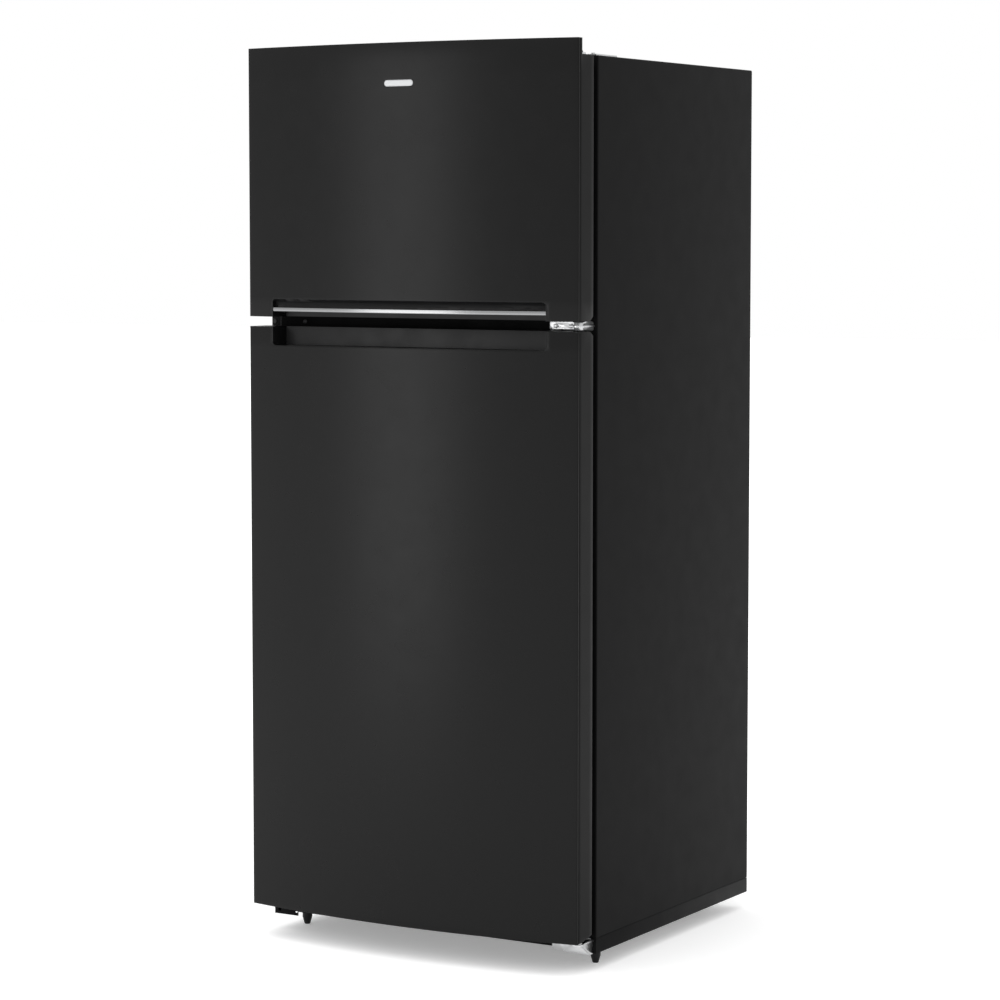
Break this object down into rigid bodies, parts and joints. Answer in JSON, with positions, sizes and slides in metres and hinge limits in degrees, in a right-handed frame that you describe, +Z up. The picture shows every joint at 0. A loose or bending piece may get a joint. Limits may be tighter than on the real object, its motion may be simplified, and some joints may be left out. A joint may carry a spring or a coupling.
{
  "type": "top freezer refrigerator",
  "caption": "Free-standing refrigerator with a freezer above and a larger compartment below, crowned right-hinged doors and pocket handles that meet at the gap.",
  "frame": {"origin": "on the floor, under the centre of the closed body's bounding box", "axes": "+Z up, the doors face -Y, +X is the hinge side"},
  "size_m": [0.705, 0.728, 1.678],
  "materials": {
    "cabinet_paint": "semi-gloss black enamel",
    "door_paint": "semi-gloss black enamel",
    "rear_paint": "matt grey-black pre-painted steel",
    "frame_paint": "black powder coat",
    "foam": "rigid polyurethane foam",
    "liner": "white vacuum-formed liner",
    "shelf_plastic": "white moulded plastic",
    "bin_plastic": "frosted moulded plastic",
    "clear_plastic": "clear moulded plastic",
    "glass": "tempered glass",
    "black_plastic": "black moulded plastic",
    "door_cap": "black semi-gloss moulded plastic",
    "gasket": "black magnetic bellows gasket",
    "chrome_trim": "bright trim",
    "badge_metal": "satin metal",
    "hinge_steel": "zinc-plated steel",
    "machine_black": "black enamel",
    "machine_plastic": "dark moulded plastic",
    "copper": "drawn copper",
    "aluminium": "mill finish",
    "rubber": "moulded rubber",
    "lamp_lens": "frosted lens",
    "fan_plastic": "light grey moulded plastic",
    "knob_plastic": "light grey moulded plastic",
    "roller_plastic": "grey nylon"
  },
  "bodies": {
    "cabinet": {"cabinet_shell": "cabinet_paint", "rear_panel": "rear_paint", "base_frame": "frame_paint", "cabinet_foam": "foam", "freezer_liner": "liner", "fridge_liner": "liner", "mullion_rail": "black_plastic", "hinge_hole_plugs": "black_plastic", "top_hinge": "hinge_steel", "centre_hinge": "hinge_steel", "bottom_hinge": "hinge_steel", "screws": "hinge_steel", "compressor": "machine_black", "compressor_mounts": "rubber", "condenser_coil": "machine_black", "condenser_fan_motor": "machine_plastic", "drain_pan": "machine_plastic", "machine_cover": "rear_paint", "filter_dryer": "copper", "refrigerant_lines": "copper", "power_inlet": "machine_plastic", "evaporator_coil": "aluminium", "evaporator_cover": "liner", "evaporator_fan_motor": "machine_plastic", "freezer_shelf": "shelf_plastic", "fridge_shelf_lower": "shelf_plastic", "fridge_shelf_upper": "shelf_plastic", "shelf_glass": "glass", "crisper_cover": "shelf_plastic", "control_box": "shelf_plastic", "lamp": "lamp_lens", "rear_axles": "hinge_steel"},
    "freezer_door": {"freezer_door_skin": "door_paint", "freezer_door_foam": "foam", "freezer_door_liner": "liner", "freezer_door_top_cap": "door_cap", "freezer_handle_cap": "door_cap", "freezer_handle_trim": "chrome_trim", "freezer_door_gasket": "gasket", "freezer_door_bins": "bin_plastic", "badge": "badge_metal"},
    "fridge_door": {"fridge_door_skin": "door_paint", "fridge_door_foam": "foam", "fridge_door_liner": "liner", "fridge_handle_cap": "door_cap", "fridge_door_bottom_cap": "door_cap", "fridge_door_gasket": "gasket", "fridge_door_bins": "bin_plastic"},
    "dairy_lid": {"dairy_lid": "clear_plastic"},
    "crisper_left": {"crisper_left": "clear_plastic"},
    "crisper_right": {"crisper_right": "clear_plastic"},
    "door_switch": {"door_switch_plunger": "knob_plastic"},
    "temperature_knob": {"temperature_knob": "knob_plastic"},
    "airflow_knob": {"airflow_knob": "knob_plastic"},
    "evaporator_fan": {"evaporator_fan_blade": "fan_plastic"},
    "condenser_fan": {"condenser_fan_blade": "machine_plastic"},
    "foot_left": {"leveling_foot_left": "black_plastic"},
    "foot_right": {"leveling_foot_right": "black_plastic"},
    "roller_left": {"rear_roller_left": "roller_plastic"},
    "roller_right": {"rear_roller_right": "roller_plastic"}
  },
  "joints": [
    {"name": "crisper_left_slide", "type": "slide", "parent": "cabinet", "child": "crisper_left", "axis": [0, -1, 0], "range_m": [0, 0.2]},
    {"name": "crisper_right_slide", "type": "slide", "parent": "cabinet", "child": "crisper_right", "axis": [0, -1, 0], "range_m": [0, 0.2]},
    {"name": "dairy_lid_swing", "type": "hinge", "parent": "fridge_door", "child": "dairy_lid", "pos_m": [0, -0.165, 1.069], "axis": [1, 0, 0], "range_deg": [0, 85]},
    {"name": "door_freezer_swing", "type": "hinge", "parent": "cabinet", "child": "freezer_door", "pos_m": [0.3375, -0.301, 1.4], "axis": [0, 0, 1], "range_deg": [0, 150]},
    {"name": "door_fridge_swing", "type": "hinge", "parent": "cabinet", "child": "fridge_door", "pos_m": [0.3375, -0.301, 0.6], "axis": [0, 0, 1], "range_deg": [0, 150]},
    {"name": "door_switch_travel", "type": "slide", "parent": "cabinet", "child": "door_switch", "axis": [0, -1, 0], "range_m": [0, 0.006]},
    {"name": "fan_condenser_spin", "type": "hinge", "parent": "cabinet", "child": "condenser_fan", "pos_m": [-0.03, 0.2795, 0.14], "axis": [1, 0, 0], "continuous": true},
    {"name": "fan_evaporator_spin", "type": "hinge", "parent": "cabinet", "child": "evaporator_fan", "pos_m": [0, 0.28, 1.49], "axis": [0, 1, 0], "continuous": true},
    {"name": "foot_left_adjust", "type": "slide", "parent": "cabinet", "child": "foot_left", "axis": [0, 0, -1], "range_m": [0, 0.012]},
    {"name": "foot_right_adjust", "type": "slide", "parent": "cabinet", "child": "foot_right", "axis": [0, 0, -1], "range_m": [0, 0.012]},
    {"name": "knob_airflow_turn", "type": "hinge", "parent": "cabinet", "child": "airflow_knob", "pos_m": [0.005, -0.19, 1.106], "axis": [0, 1, 0], "range_deg": [0, 270]},
    {"name": "knob_temperature_turn", "type": "hinge", "parent": "cabinet", "child": "temperature_knob", "pos_m": [-0.085, -0.19, 1.106], "axis": [0, 1, 0], "range_deg": [0, 270]},
    {"name": "roller_left_spin", "type": "hinge", "parent": "cabinet", "child": "roller_left", "pos_m": [-0.2755, 0.292, 0.019], "axis": [1, 0, 0], "continuous": true},
    {"name": "roller_right_spin", "type": "hinge", "parent": "cabinet", "child": "roller_right", "pos_m": [0.2755, 0.292, 0.019], "axis": [1, 0, 0], "continuous": true}
  ],
  "couplings": [
    {"joint": "crisper_left_slide", "follows": "door_fridge_swing", "m_per_rad": 0.076},
    {"joint": "crisper_right_slide", "follows": "door_fridge_swing", "m_per_rad": 0.076},
    {"joint": "door_switch_travel", "follows": "door_fridge_swing", "m_per_rad": 0.0022}
  ]
}
